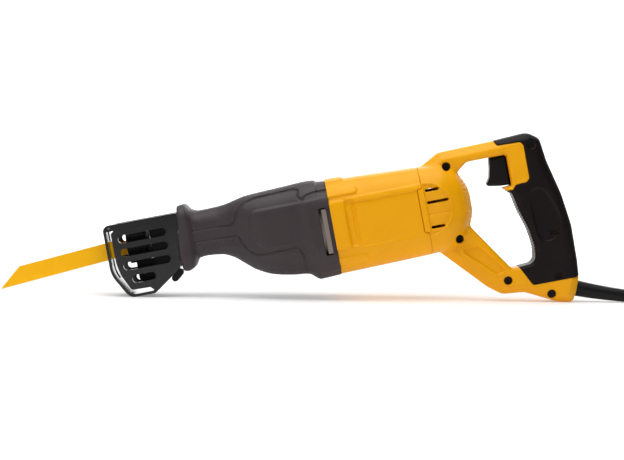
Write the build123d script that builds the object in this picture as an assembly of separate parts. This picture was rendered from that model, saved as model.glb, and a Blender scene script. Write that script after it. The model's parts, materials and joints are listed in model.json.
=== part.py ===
from build123d import *
import math
import os

# Reciprocating saw, millimetres.
# Everything but the cord is drawn in the saw's own frame: X rearward along the motor axis, Y across,
# Z up, origin on the motor axis at the front face of the motor housing. The last section stands the
# saw on its shoe and on the foot of its handle.

# Motor and spindle
SPINDLE_Z = 18.0
SPINDLE_R = 8.0
STROKE = 28.0
CRANK_X = -50.0
CRANK_R = STROKE / 2
RUN_FIT = 0.05
STILL_FIT = 0.05
BODY_GAP = 0.3
HOUSING_LENGTH = 90.0
HOUSING_BORE = 39.5

# Blade
BLADE_LENGTH = 151.6
BLADE_DEPTH = 17.6
BLADE_THICKNESS = 1.25
BLADE_CANT = 4.3
BLADE_TIP = (-331.0, 0.0)
TOOTH_PITCH = 1.8
TOOTH_DEPTH = 1.0
TOOTH_COUNT = 61
TANG_DEPTH = 12.4

# Blade clamp
CLAMP_FRONT = -200.5
CLAMP_SLEEVE_R = 16.2
CLAMP_CORE_R = 12.0
LOCK_PIN_X = -188.0
LOCK_PIN_R = 2.0

# Shoe: a bent strap between two slotted side guards
SHOE_WIDTH = 45.0
GUARD_THICKNESS = 2.2
PIVOT = (-187.0, -6.5)
PIVOT_R = 3.0

# Handle
ARM_HALF = 17.0
GRIP_SKIN = 2.5
SHELL_WALL = 4.5
FOOT_TOE = (214.0, -109.0, 5.4)
SCREW_SPOTS = [(118.5, 38.5), (118.5, -32.5), (158.0, -81.5), (197.5, -102.0),
               (204.0, 45.0), (211.0, -42.5), (207.5, -85.0)]
TRIGGER_TRAVEL = 7.0

# Strain relief: leaves the foot of the handle, tapered and bent towards the floor
RELIEF_START = (217.0, -99.5)
RELIEF_HEADING = (-23.0, -15.6)
RELIEF_LENGTH = 60.0
RELIEF_R = (8.0, 5.9)

# Cord: 4 m in all, wound in 13 turns behind the saw; places below are on the floor the saw stands on
CORD_R = 4.0
COIL_CENTRE = (384.0, 40.0)
COIL_R = (32.0, 64.0)
COIL_HEIGHT = 24.0
TOP_TURN_R = 52.0
TIE_ANGLE = 40.0
PLUG_AXIS_Z = 41.0


def side_slab(face, y_low, y_high):
    """Turns a side-view face, drawn in X and Z, into a slab between two distances across the saw."""
    across = Plane(origin=(0, y_high, 0), x_dir=(1, 0, 0), z_dir=(0, -1, 0))
    return extrude(across * face, y_high - y_low)


def outline(corners):
    """A closed side-view face from corners (x, z, radius)."""
    path = FilletPolyline(*[(x, z) for x, z, r in corners], radius=[r for x, z, r in corners], close=True)
    return make_face(path)


def rod(radius, x0, x1, z=0.0, y=0.0):
    """A round bar along X."""
    return extrude(Plane(origin=(x0, y, z), x_dir=(0, 1, 0), z_dir=(1, 0, 0)) * Circle(radius), x1 - x0)


def pipe(r_in, r_out, x0, x1, z=0.0, y=0.0):
    """A round pipe along X."""
    return rod(r_out, x0, x1, z, y) - rod(r_in, x0 - 1, x1 + 1, z, y)


def cross_rod(radius, y0, y1, x, z):
    """A round bar across the saw."""
    return extrude(Plane(origin=(x, y0, z), x_dir=(1, 0, 0), z_dir=(0, 1, 0)) * Circle(radius), y1 - y0)


def post(radius, z0, z1, x, y=0.0):
    """An upright round bar."""
    return extrude(Plane(origin=(x, y, z0)) * Circle(radius), z1 - z0)


def block(x0, x1, y0, y1, z0, z1):
    """A block between two corners."""
    return Pos((x0 + x1) / 2, (y0 + y1) / 2, (z0 + z1) / 2) * Box(x1 - x0, y1 - y0, z1 - z0)


def section(x, z_low, z_high, half_width, corner):
    """A rounded cross-section face at one distance along the saw."""
    place = Plane(origin=(x, 0, (z_low + z_high) / 2), x_dir=(0, 1, 0), z_dir=(1, 0, 0))
    return place * RectangleRounded(2 * half_width, z_high - z_low, corner)


def skin(stations, inset=0.0):
    """A ruled loft through cross-sections (x, z_low, z_high, half_width, corner), drawn in by inset."""
    faces = []
    for x, z_low, z_high, half_width, corner in stations:
        faces.append(section(x, z_low + inset, z_high - inset, half_width - inset, corner - inset))
    return loft(faces, ruled=True)


def sector(r_in, r_out, start_deg, end_deg, x0, x1):
    """A piece of a ring along X, between two angles counted from +Y towards +Z."""
    reach = 2 * r_out
    steps = 6
    rim = []
    for i in range(steps + 1):
        angle = math.radians(start_deg + (end_deg - start_deg) * i / steps)
        rim.append((reach * math.cos(angle), reach * math.sin(angle)))
    wedge = make_face(Polyline((0, 0), *rim, (0, 0)))
    ring = Circle(r_out) - Circle(r_in)
    place = Plane(origin=(x0, 0, 0), x_dir=(0, 1, 0), z_dir=(1, 0, 0))
    return extrude(place * (ring & wedge), x1 - x0)


def coil_spring(mean_r, wire_r, length, turns):
    """A coil spring along Z from the origin."""
    path = Helix(pitch=length / turns, height=length, radius=mean_r)
    return sweep(Plane(path @ 0, z_dir=path % 0) * Circle(wire_r), path)


def mirrored(solid):
    """A solid and its twin on the other side of the saw."""
    return Compound([*solid.solids(), *mirror(solid, Plane.XZ).solids()])


# ---------------------------------------------------------------- blade, spindle and blade clamp

def make_blade():
    teeth = []
    for i in range(TOOTH_COUNT):
        tip = 2.0 + i * TOOTH_PITCH
        teeth.append((tip, 0.0))
        teeth.append((tip + 0.3 * TOOTH_PITCH, TOOTH_DEPTH))
    body_end = 118.0
    tang_low = 1.2
    edge = [(0.0, TOOTH_DEPTH), *teeth, (body_end, TOOTH_DEPTH), (body_end + 7, tang_low + 0.6),
            (BLADE_LENGTH - 2, tang_low), (BLADE_LENGTH, tang_low + 2),
            (BLADE_LENGTH, tang_low + TANG_DEPTH - 2), (BLADE_LENGTH - 2, tang_low + TANG_DEPTH),
            (body_end + 8, tang_low + TANG_DEPTH), (body_end + 4, BLADE_DEPTH),
            (23.0, BLADE_DEPTH), (0.0, TOOTH_DEPTH)]
    flat = make_face(Polyline(*edge))
    placed = Pos(BLADE_TIP[0], BLADE_TIP[1]) * Rot(0, 0, BLADE_CANT) * flat
    blade = side_slab(placed, -BLADE_THICKNESS / 2, BLADE_THICKNESS / 2)
    return blade - cross_rod(LOCK_PIN_R + 0.2, -5, 5, LOCK_PIN_X, SPINDLE_Z)


def make_spindle():
    spindle = rod(SPINDLE_R, -196, -58.5, SPINDLE_Z)
    spindle -= block(-197, -178, -BLADE_THICKNESS / 2 - 0.2, BLADE_THICKNESS / 2 + 0.2, 0, 40)
    spindle -= cross_rod(LOCK_PIN_R + 0.1, -12, 4, LOCK_PIN_X, SPINDLE_Z)
    return spindle


YOKE = (-58.5, -41.5)
YOKE_BOSS = -66.0


def make_yoke():
    yoke = block(YOKE[0], YOKE[1], -22, 22, 11, 25) + rod(11, YOKE_BOSS, YOKE[0] + 1, SPINDLE_Z)
    yoke -= block(CRANK_X - 4.3, CRANK_X + 4.3, -18.6, 18.6, 0, 40)
    yoke -= rod(SPINDLE_R + STILL_FIT, YOKE_BOSS - 1, YOKE[0], SPINDLE_Z) + block(-67, -40, -30, 30, 0, 10)
    return yoke - cross_rod(1.5, -12, 12, -62, SPINDLE_Z)


def make_clamp_core():
    core = pipe(SPINDLE_R + STILL_FIT, CLAMP_CORE_R, -198, -180, SPINDLE_Z)
    return core - cross_rod(LOCK_PIN_R + 0.1, -14, -5, LOCK_PIN_X, SPINDLE_Z)


def make_clamp_sleeve():
    sleeve = pipe(CLAMP_CORE_R + BODY_GAP, CLAMP_SLEEVE_R, CLAMP_FRONT, -181, SPINDLE_Z)
    sleeve += pipe(9.2, CLAMP_CORE_R + BODY_GAP + 0.5, CLAMP_FRONT, -198.5, SPINDLE_Z)
    for i in range(12):
        angle = math.radians(15 + 30 * i)
        y = (CLAMP_SLEEVE_R + 0.6) * math.sin(angle)
        z = SPINDLE_Z + (CLAMP_SLEEVE_R + 0.6) * math.cos(angle)
        sleeve -= rod(1.5, CLAMP_FRONT + 3, -180, z, y)
    tab = block(-196, -184, -4, 4, SPINDLE_Z + CLAMP_SLEEVE_R - 1.5, SPINDLE_Z + CLAMP_SLEEVE_R + 1)
    tab = fillet(tab.edges().group_by(Axis.Z)[-1], 0.5)
    return sleeve + tab


def make_spindle_bushings():
    front = pipe(SPINDLE_R + RUN_FIT, 11, -144.5, -128.2, SPINDLE_Z)
    rear = pipe(SPINDLE_R + RUN_FIT, 11, -97.8, -82, SPINDLE_Z)
    return Compound([*front.solids(), *rear.solids()])


def make_lock_pin():
    return cross_rod(LOCK_PIN_R, -9, 1.5, LOCK_PIN_X, SPINDLE_Z)


# ---------------------------------------------------------------- shoe and its bracket

STRAP = [(-220.0, 42.8, 6), (-220.0, -5.0, 28), (-208.6, -25.2, 6), (-203.9, -30.0, 8),
         (-181.0, -30.0, 5), (-153.0, -10.2, 0.4), (-151.6, -8.0, 0.4), (-151.4, -4.2, 0.4),
         (-180.5, -24.6, 0.6), (-182.5, -27.3, 0.6), (-201.0, -27.3, 6), (-206.0, -23.6, 6),
         (-217.3, -4.4, 25), (-217.3, 40.1, 3.5), (-209.0, 40.1, 0.4), (-209.0, 42.8, 0.4)]
HEEL = 3


def make_shoe_strap():
    """The bent strap: front plate with the blade's slot, sole, and the two rails behind the sole."""
    strap = side_slab(outline(STRAP), -SHOE_WIDTH / 2, SHOE_WIDTH / 2)
    strap -= block(-225, -214, -6.5, 6.5, -20, 38)
    return strap - block(-181, -140, -15.5, 15.5, -40, 0)


GUARD = [(-213.0, 34.0, 2), (-213.0, 5.0, 20), (-210.5, -7.0, 10), (-203.0, -22.8, 3),
         (-184.8, -23.3, 1), (-181.2, -26.4, 0.3), (-151.8, -5.4, 0.3), (-151.0, 10.0, 8), (-147.8, 29.0, 20),
         (-146.8, 42.8, 0.6), (-209.2, 42.8, 0.6), (-209.2, 37.5, 1)]
GUARD_SLOTS = [(-207.0, -160.0, 27.2, 7.8), (-207.0, -160.2, 14.0, 7.8),
               (-206.5, -160.0, 0.6, 7.8), (-200.2, -177.2, -12.8, 7.8)]


def slot_face(x0, x1, z, height):
    return Pos((x0 + x1) / 2, z) * SlotOverall(x1 - x0, height)


def make_guard(y0, y1):
    """One side guard: plate, rolled top flange, lips round the slots, tabs to the strap."""
    face = outline(GUARD)
    lips = None
    for x0, x1, z, height in GUARD_SLOTS:
        face -= slot_face(x0, x1, z, height)
        lip = slot_face(x0 - 1.3, x1 + 1.3, z, height + 2.6) - slot_face(x0, x1, z, height)
        lips = lip if lips is None else lips + lip
    inner, outer = sorted((y0, y1), key=abs)
    towards_middle = -1 if inner > 0 else 1
    flange_y = sorted((inner, inner + 7 * towards_middle))
    plate = side_slab(face, y0, y1)
    plate += side_slab(lips, *sorted((outer, outer - 0.9 * towards_middle)))
    crease = Pos(-184.5, 36.6) * SlotOverall(41, 1.4)
    plate += side_slab(crease, *sorted((outer, outer - 0.7 * towards_middle)))
    plate += block(-208.9, -147.2, *flange_y, 40.6, 42.8)
    plate += block(-217.5, -208.0, y0, y1, 36.6, 39.6)
    return plate - cross_rod(PIVOT_R + RUN_FIT, y0 - 1, y1 + 1, *PIVOT) - make_shoe_strap()


BRACKET_WEB = [(-172.0, -1.0, 0.5), (-172.0, -10.0, 2), (-160.0, -19.0, 1), (-156.0, -14.0, 1),
               (-158.0, -1.0, 0.5)]
BRACKET_SCREWS = (-132.0, -119.0)
STRIP = (-1.6, 1.0)
WING = [(-176.0, 33.0, 2), (-176.0, -4.0, 1), (-163.0, -4.0, 2), (-152.5, 8.0, 1), (-152.5, 29.0, 2),
        (-156.5, 33.0, 2)]


def make_bracket():
    """The bar that carries the shoe: cheeks under the spindle, a wing each side, a strip under the nose."""
    cheek = outline([(-194.5, 3.0, 1), (-194.5, -16.0, 3), (-173.0, -16.0, 5), (-157.5, -4.5, 4),
                     (-150.0, -1.0, 0.4), (-150.0, 1.0, 0.4), (-153.0, 3.0, 1)])
    bracket = side_slab(cheek, -11, -7.5) + side_slab(cheek, 7.5, 11)
    bracket += block(-180, -112, -11, 11, *STRIP)
    bracket += side_slab(outline(BRACKET_WEB), -3, 3)
    bracket += block(-175.9, -166, -19.5, 19.5, *STRIP)
    bracket += side_slab(outline(WING), -19.6, -17.4) + side_slab(outline(WING), 17.4, 19.6)
    for x in BRACKET_SCREWS:
        bracket -= post(2.05, -5, 5, x) + post(3.65, -5, 0, x)
    return bracket - cross_rod(PIVOT_R + STILL_FIT, -12, 12, *PIVOT)


def make_bumper():
    """Rubber stop below the shoe, pushed over the bracket's web."""
    pad = Pos(-157.9, -17.7) * Rot(0, 0, 40) * SlotOverall(13.4, 6.8)
    return side_slab(pad, -9, 9) - side_slab(outline(BRACKET_WEB), -3, 3)


def make_bracket_screws():
    screws = []
    for x in BRACKET_SCREWS:
        screw = post(3.6, STRIP[0], 0, x) + post(2.0, -0.2, 5.6, x)
        screw -= block(x - 2.6, x + 2.6, -0.5, 0.5, -2, -0.8)
        screws.append(screw.solids()[0])
    return Compound(screws)


# ---------------------------------------------------------------- gear case and boot

BOOT = [(-152.0, -13.6, 46.0, 30.0, 14.0), (-145.5, -15.0, 49.4, 31.5, 14.0),
        (-139.5, -13.0, 49.4, 31.0, 14.0), (-133.0, -5.0, 43.0, 27.0, 14.0),
        (-126.0, -3.9, 40.6, 26.0, 14.0), (-110.0, -5.6, 41.0, 27.0, 15.0),
        (-100.0, -10.0, 42.0, 30.0, 17.0), (-90.0, -18.0, 44.2, 34.5, 20.0),
        (-80.0, -26.0, 46.3, 38.0, 22.0), (-65.0, -33.4, 47.3, 40.5, 24.0),
        (-45.0, -37.8, 48.2, 41.0, 25.0), (-31.0, -39.4, 49.0, 41.5, 25.0),
        (-20.0, -46.4, 49.5, 43.8, 28.0), (0.0, -45.6, 47.6, 44.0, 30.0)]
FLANGE_FRONT = [(-145.6, 60), (-146.0, 46), (-146.8, 30), (-149.8, 14), (-150.6, 0), (-150.0, -20),
                (-170, -20), (-170, 60)]
VENT = (-11.0, -1.0, -24.0, 22.0)


BOOT_WALL = 3.0
NOSE_R = 16.0
NOSE_FRONT = -145.0
CASE_REAR = -16.0
PLATE_R = 41.5
SCREW_CIRCLE = 42.5
CORNERS = (45, 135, 225, 315)


def corner_rods(radius, x0, x1):
    """Four rods along X at the corners of the motor housing."""
    rods = [Rot(angle, 0, 0) * rod(radius, x0, x1, SCREW_CIRCLE) for angle in CORNERS]
    return rods[0] + rods[1] + rods[2] + rods[3]


def make_boot():
    """Rubber cover over the gear case and neck, with a flared front flange and side vents."""
    boot = skin(BOOT)
    boot -= side_slab(make_face(Polyline(*FLANGE_FRONT, close=True)), -60, 60)
    boot -= skin(BOOT[3:], BOOT_WALL) & block(-140, CASE_REAR, -60, 60, -60, 60)
    boot -= rod(PLATE_R + STILL_FIT, -21, 1) + corner_rods(5.05, -13, 1)
    boot -= rod(NOSE_R + STILL_FIT, -151, -130, SPINDLE_Z)
    boot -= block(-151, -110, -11.1, 11.1, STRIP[0] - 0.1, 8)
    return boot - block(VENT[0], VENT[1], -60, 60, VENT[2], VENT[3])


def make_gear_case():
    """Die-cast case: spindle nose, crank chamber, crank bearing boss and rails for the wear plates."""
    case = skin(BOOT[3:], BOOT_WALL + STILL_FIT) & block(-140, CASE_REAR, -60, 60, -60, 60)
    case += rod(NOSE_R, NOSE_FRONT, -130, SPINDLE_Z) + rod(PLATE_R, CASE_REAR - 5, CASE_REAR)
    case -= skin(BOOT[7:], 7.5) & block(-86, 0, -60, 60, -60, 60)
    case += rod(15, -98, -82, SPINDLE_Z)
    case += block(-80, -20, -34, -24.4, 12, 24) + block(-80, -20, 24.4, 34, 12, 24)
    case += post(16, -29.2, -13, CRANK_X)
    case -= post(13 + STILL_FIT, -27.6, -12.9, CRANK_X) + block(-66, -34, -27, 27, -12.9, 0)
    case -= rod(8.8, -150, -60, SPINDLE_Z)
    case -= rod(11 + STILL_FIT, -146, -128, SPINDLE_Z) + rod(11 + STILL_FIT, -98, -80, SPINDLE_Z)
    case -= block(-151, -111, -11.05, 11.05, -5, STRIP[1] + STILL_FIT)
    for x in BRACKET_SCREWS:
        case -= post(2.05, 0, 5.8, x)
    return case


def make_bearing_plate():
    """Closes the crank chamber, holds the front motor bearing and shows through the boot's vents."""
    plate = rod(PLATE_R, CASE_REAR, -9.5) + rod(17.5, -18.5, -9.5) + pipe(37.5, PLATE_R, -10, -4)
    plate += corner_rods(5, -12, -4)
    for side in (-1, 1):
        plate += block(-8.4, -4.0, *sorted((side * 38.5, side * 42.9)), -22.5, 20.5)
    return plate - rod(14 + STILL_FIT, -18.6, -9) - rod(8, -30, 0) - corner_rods(2.05, -13, 0)


def bearing(r_in, r_out, x0, x1, z=0.0):
    """A shielded ball bearing: one ring with a groove in each face."""
    ring = pipe(r_in, r_out, x0, x1, z)
    middle = (r_in + r_out) / 2
    for start in (x0 - 0.5, x1 - 0.5):
        ring -= pipe(middle - 1.4, middle + 1.4, start, start + 1, z)
    return ring


def make_motor_bearings():
    front = bearing(5 + RUN_FIT, 14, -18.5, -9.6)
    rear = bearing(4 + RUN_FIT, 12.5, 103, 110)
    return Compound([*front.solids(), *rear.solids()])


def make_crank_bearings():
    rings = []
    for z0, z1 in ((-27.5, -20.6), (-19.6, -13.0)):
        rings.append(post(13, z0, z1, CRANK_X) - post(6 + RUN_FIT, z0 - 1, z1 + 1, CRANK_X))
    return Compound([r.solids()[0] for r in rings])


def make_crank_gear():
    gear = post(6, -27.4, -9, CRANK_X) + post(30, -11.6, -6.2, CRANK_X) + post(8.5, -7, -2, CRANK_X)
    gear -= post(20, -6.9, -3, CRANK_X) - post(9, -7, -3, CRANK_X)
    tooth = block(22.5, 30, -0.9, 0.9, -6.6, -4.75)
    for i in range(48):
        gear += Pos(CRANK_X, 0, 0) * Rot(0, 0, 7.5 * i) * tooth
    return gear


def make_crank_pin():
    return post(3, -6.9, 9.5, CRANK_X, CRANK_R)


def make_crank_roller():
    return post(4, 3, 9.5, CRANK_X, CRANK_R) - post(3 + RUN_FIT, 2, 11, CRANK_X, CRANK_R)


def make_crank_weight():
    weight = post(19, -6.9, 1.5, CRANK_X) - post(9.2, -8, 2, CRANK_X)
    return weight & block(CRANK_X - 19, CRANK_X + 19, -30, -5, -10, 10)


# ---------------------------------------------------------------- motor

STACK = (28.0, 62.0)


def make_armature_shaft():
    return rod(2.5, -28, -18) + rod(5, -18.5, 101) + rod(4, 101, 111.5)


def make_pinion():
    pinion = rod(2.9, -28, -19)
    for i in range(6):
        tooth = block(-28, -19.2, -0.75, 0.75, 2.4, 4.4)
        pinion += Rot(60 * i, 0, 0) * tooth
    return pinion - rod(2.5 + STILL_FIT, -30, -18)


def make_armature_stack():
    stack = pipe(5 + STILL_FIT, 22, *STACK)
    for i in range(12):
        angle = math.radians(30 * i)
        stack -= rod(2.2, STACK[0] - 1, STACK[1] + 1, 17.5 * math.cos(angle), 17.5 * math.sin(angle))
        stack -= Rot(-30 * i, 0, 0) * block(STACK[0] - 1, STACK[1] + 1, -0.7, 0.7, 18, 23)
    return stack


def make_armature_windings():
    front = pipe(6, 19, 19, STACK[0])
    rear = pipe(6, 19, STACK[1], 73)
    front = fillet(front.edges().filter_by(GeomType.CIRCLE).group_by(Axis.X)[0], 2.5)
    rear = fillet(rear.edges().filter_by(GeomType.CIRCLE).group_by(Axis.X)[-1], 2.5)
    return Compound([*front.solids(), *rear.solids()])


def make_commutator():
    commutator = pipe(5 + STILL_FIT, 13, 78, 96) + pipe(5 + STILL_FIT, 15, 76, 78.5)
    for i in range(24):
        commutator -= Rot(15 * i, 0, 0) * block(78.6, 97, -0.3, 0.3, 12.2, 14)
    return commutator


def make_fan():
    fan = pipe(5 + STILL_FIT, 9, -1, 10) + pipe(8, 35.5, 8.5, 10)
    for i in range(14):
        blade = Pos(0, 0, 22) * Rot(0, 0, 12) * Box(9.6, 1.4, 26.5)
        fan += Rot(360 / 14 * i, 0, 0) * (Pos(4.0, 0, 0) * blade & pipe(8.5, 35.5, -1, 9))
    return fan


def make_field_stack():
    stack = pipe(22.6, 38, *STACK)
    for angle in (32, 138, 212, 318):
        stack -= sector(21, 33.5, angle, angle + 10, STACK[0] - 1, STACK[1] + 1)
    return stack


def make_field_coils():
    coils = []
    for middle in (90, 270):
        coil = sector(24, 33, middle - 57.5, middle + 57.5, 20, STACK[0])
        coil += sector(24, 33, middle - 57.5, middle + 57.5, STACK[1], 70)
        for start in (middle - 57.5, middle + 48.5):
            coil += sector(24, 33, start, start + 9, STACK[0] - 1, STACK[1] + 1)
        coils.append(coil)
    return Compound([c.solids()[0] for c in coils])


HOUSING = [(0.0, -45.1, 46.4, 44.0, 30.0), (45.0, -43.9, 44.8, 43.4, 28.0),
           (HOUSING_LENGTH, -42.5, 43.0, 42.8, 26.0)]


def make_motor_housing():
    """Moulded field case: bore for the motor, a land that grips the field stack, four screw tunnels."""
    shell = skin(HOUSING) + pipe(HOUSING_BORE, PLATE_R, -4, 1)
    shell -= rod(HOUSING_BORE, -10, 100)
    shell += pipe(38 + STILL_FIT, 40, 26, 64)
    return shell - corner_rods(2.05, -5, 91) - corner_rods(3.65, 84, 91)


def make_housing_screws():
    return Compound([s for s in (corner_rods(2, -11.5, 84.5) + corner_rods(3.6, 84, 88)).solids()])


def make_fan_baffle():
    return pipe(25, HOUSING_BORE - STILL_FIT, 12, 14) + pipe(25, 27, 12, 18)


def make_brushes():
    return mirrored(block(84, 91, 13.3, 25, -4.5, 4.5))


def make_brush_holders():
    """Two brush boxes moulded in one with the ring plate that carries them."""
    carrier = pipe(16, 38.4, 93, 95.4)
    for side in (-1, 1):
        carrier += block(82, 93.5, *sorted((15 * side, 33 * side)), -6.5, 6.5)
    for side in (-1, 1):
        carrier -= block(84 - STILL_FIT, 91 + STILL_FIT, *sorted((10 * side, 31.5 * side)),
                         -4.5 - STILL_FIT, 4.5 + STILL_FIT)
    return carrier


def make_brush_springs():
    spring = coil_spring(2.8, 0.45, 4.9, 4)
    return mirrored(Pos(87.5, 25.7, 0) * Rot(-90, 0, 0) * spring)


# ---------------------------------------------------------------- handle

PROFILE = [(92, 40, 7), (99, 45, 6), (114, 53.2, 14), (168, 54.6, 60), (202, 56.6, 12), (213, 49, 9),
           (216, 26, 60), (224.5, -8, 60), (228.8, -40, 60), (228.2, -75, 60), (226.8, -92, 30),
           (221.5, -106, 8), (FOOT_TOE[0] + 2.6, -114.4, FOOT_TOE[2]), (203, -111.6, 40), (172, -96.0, 20),
           (150, -94.0, 16), (137, -84, 20), (97, -41.5, 3), (92, -38, 7)]
OPENING = [(127, 30, 5), (139, 39.2, 8), (178, 39.6, 3), (178, 8.6, 1.5), (169, 8.2, 0.8),
           (173, 4.4, 1.5), (177.2, 1.2, 4), (179.6, -14, 40), (186.4, -36, 40), (188.9, -53, 25),
           (188.0, -69.4, 8), (164, -71, 6), (131, -22, 8), (135.5, -8, 20), (135.5, 10, 20)]
OPENING_WALL = [(127, 30, 5), (139, 39.2, 8), (178, 39.6, 5), (178.4, 0, 40), (180, -16, 40),
                (186.4, -36, 40), (188.9, -53, 25), (188.0, -69.4, 8), (164, -71, 6), (131, -22, 8),
                (135.5, -8, 20), (135.5, 10, 20)]
GRIP_REGION = [(166, 60), (171, 49.6), (193.5, 48.8), (196, 45), (196, 12.5), (192.6, 9.4), (182, 9.0),
               (178.5, 4.6), (160, 4.6), (160, -58), (167, -69), (181, -90.2), (240, -90.2), (240, 60)]
DOME = [(HOUSING_LENGTH, -42.5, 43.0, 42.8, 26.0), (108.0, -41.0, 42.0, 41.0, 28.0),
        (122.0, -35.0, 37.0, 34.0, 26.0), (131.0, -24.0, 27.0, 24.0, 20.0), (136.0, -14.0, 17.0, 13.0, 12.0)]
VENT_SLOTS = [(20.0, 104.0), (8.2, 113.0), (-3.8, 113.0), (-15.8, 104.0)]


def rounded_slab(face, y_half, radius):
    """A slab of a side view, rounded over at both faces."""
    slab = side_slab(face, -y_half, y_half)
    rims = slab.edges().filter_by(lambda e: abs(abs(e.center().Y) - y_half) < 0.01)
    return fillet(rims, radius)


def hollow_slab(profile, inset):
    """The handle's side view drawn in on all sides by the thickness of a wall."""
    y_half = ARM_HALF - inset
    slab = side_slab(offset(profile, -inset), -y_half, y_half)
    return slab - side_slab(offset(outline(OPENING_WALL), inset), -ARM_HALF, ARM_HALF)


def grip_face():
    return make_face(Polyline(*GRIP_REGION, close=True))


def make_handle():
    """The whole yellow handle, its rubber grip, both hollow, before they are split in two."""
    profile = outline(PROFILE)
    opening = outline(OPENING)
    arms = rounded_slab(profile, ARM_HALF, 5.0) - side_slab(opening, -30, 30)
    grip_block = side_slab(grip_face(), -60, 60)
    core = hollow_slab(profile, GRIP_SKIN)
    grip = (arms & grip_block) - core
    dome = skin(DOME)
    yellow = (arms - grip_block) + (core & grip_block) + dome
    yellow -= hollow_slab(profile, SHELL_WALL)
    yellow -= skin(DOME[:-1], 3.0) + rod(38.5, HOUSING_LENGTH - 1, 100)
    return yellow, grip


def add_handle_details(yellow, grip):
    """Screw bosses, bearing seat, vent slots, trigger slot and the way out for the cord."""
    for x, z in SCREW_SPOTS:
        yellow += cross_rod(5.6, -ARM_HALF + SHELL_WALL - 1, ARM_HALF - SHELL_WALL + 1, x, z)
    seat = rod(16, 103, 110) + block(103, 110, -39.3, 39.3, -2, 2) + block(103, 110, -2, 2, -39, 39.5)
    yellow += seat
    yellow -= rod(12.5 + STILL_FIT, 102, 110.5) + rod(9, 110, 113)
    for z, x_end in VENT_SLOTS:
        yellow -= block(93, x_end, -60, -33, z - 1.2, z + 1.2)
        yellow -= block(93, x_end, 33, 60, z - 1.2, z + 1.2)
    yellow -= block(172, 195, -9.6, 9.6, 9.2, 39.3)
    way_out = relief_places()[0]
    yellow -= extrude(way_out * Circle(RELIEF_R[0] + STILL_FIT), 20) + extrude(way_out * Circle(10.05), 2.05)
    yellow -= extrude(way_out * Circle(CORD_R + STILL_FIT), -13)
    yellow -= extrude(way_out * Rectangle(20.2, 16), -8.1)
    for x, z in SCREW_SPOTS:
        recess = cross_rod(4.25, -60, -9, x, z)
        yellow -= recess + cross_rod(2.1, -12, 11, x, z)
        grip -= recess
    return yellow, grip


def halves(solid):
    left = solid & block(-400, 400, 0, 100, -200, 200)
    right = solid & block(-400, 400, -100, 0, -200, 200)
    return left, right


def make_handle_screws():
    screws = []
    for x, z in SCREW_SPOTS:
        head = cross_rod(3.9, -12.2, -9, x, z) - cross_rod(1.6, -13, -10.6, x, z)
        screws.append(head + cross_rod(2.0, -9.5, 10, x, z))
    return Compound([s.solids()[0] for s in screws])


def make_trigger():
    face = outline([(161.5, 38.4, 2), (160.5, 29, 12), (158.6, 20, 6), (154.8, 14.4, 1.5), (156, 12, 2.2),
                    (167, 10.2, 4), (178.2, 9.6, 0.6), (178.2, 38.4, 0.6)])
    trigger = side_slab(face, -9, 9)
    rims = trigger.edges().filter_by(lambda e: abs(abs(e.center().Y) - 9) < 0.01 and e.center().X < 177)
    trigger = fillet(rims, 1.4)
    return trigger + block(178, 187.5, -6, 6, 14, 34)


def make_plunger():
    return rod(2.5, 187.5, 198, 24)


def make_switch():
    switch = block(195, 209, -10.5, 10.5, 4, 34)
    switch = fillet(switch.edges(), 0.8)
    return switch - rod(3, 194, 206, 24) - pipe(2.9, 4.8, 194, 204, 24)


def make_trigger_spring():
    return Pos(195.9, 0, 24) * Rot(0, 90, 0) * coil_spring(4.0, 0.4, 7, 4)


# ---------------------------------------------------------------- cord entry

RELIEF_STEPS = 10


def relief_places():
    """Planes across the strain relief's bent centre line, from the handle to its tip."""
    x, z = RELIEF_START
    step = RELIEF_LENGTH / RELIEF_STEPS
    places = []
    for i in range(RELIEF_STEPS + 1):
        heading = RELIEF_HEADING[0] + (RELIEF_HEADING[1] - RELIEF_HEADING[0]) * i / RELIEF_STEPS
        along = (math.cos(math.radians(heading)), 0, math.sin(math.radians(heading)))
        places.append(Plane(origin=(x, 0, z), x_dir=(0, 1, 0), z_dir=along))
        x += step * along[0]
        z += step * along[2]
    return places


def relief_loft(r_start, r_end):
    """A round body along the strain relief's centre line, its radius changing evenly."""
    faces = []
    for i, place in enumerate(relief_places()):
        radius = r_start + (r_end - r_start) * i / RELIEF_STEPS
        faces.append(place * Circle(radius))
    return loft(faces, ruled=True)


def make_relief():
    """Tapered rubber sleeve with a collar inside the handle."""
    collar = extrude(relief_places()[0] * Circle(10), 2)
    return relief_loft(*RELIEF_R) + collar - relief_loft(CORD_R + STILL_FIT, CORD_R + STILL_FIT)


def make_cord_inside():
    tail = extrude(relief_places()[0] * Circle(CORD_R), -12)
    return relief_loft(CORD_R, CORD_R) + tail


def make_cord_clamp():
    """Bar that pinches the cord against the handle, above it."""
    start = relief_places()[0]
    bar = extrude(start * Pos(0, CORD_R + 1.6) * Rectangle(20, 3), -8)
    bar -= extrude(start * Rectangle(30, 30), -2)
    return bar - extrude(start * Circle(CORD_R + STILL_FIT), -20)


def make_leads():
    """Four inner leads: two from the cord to the switch, two from the switch to the brushes."""
    routes = []
    for y in (-3.0, 3.0):
        routes.append([(205.2, 0.5 * y, -95.0), (199.4, y, -92), (199.4, y, -70), (203.5, y, -45),
                       (202, y, -12), (202, y, 3.9)])
        routes.append([(196.6, y, 34.1), (196.6, y, 43), (188, y, 47), (140, y, 47), (119, y, 46.6),
                       (110, 2 * y, 42.5), (104, 3.5 * y, 36), (98, 6 * y, 24)])
    leads = []
    for route in routes:
        path = FilletPolyline(*route, radius=4)
        leads.append(sweep(Plane(path @ 0, z_dir=path % 0) * Circle(1.1), path).solids()[0])
    return Compound(leads)


# ---------------------------------------------------------------- cord, coil and plug, on the floor

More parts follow.
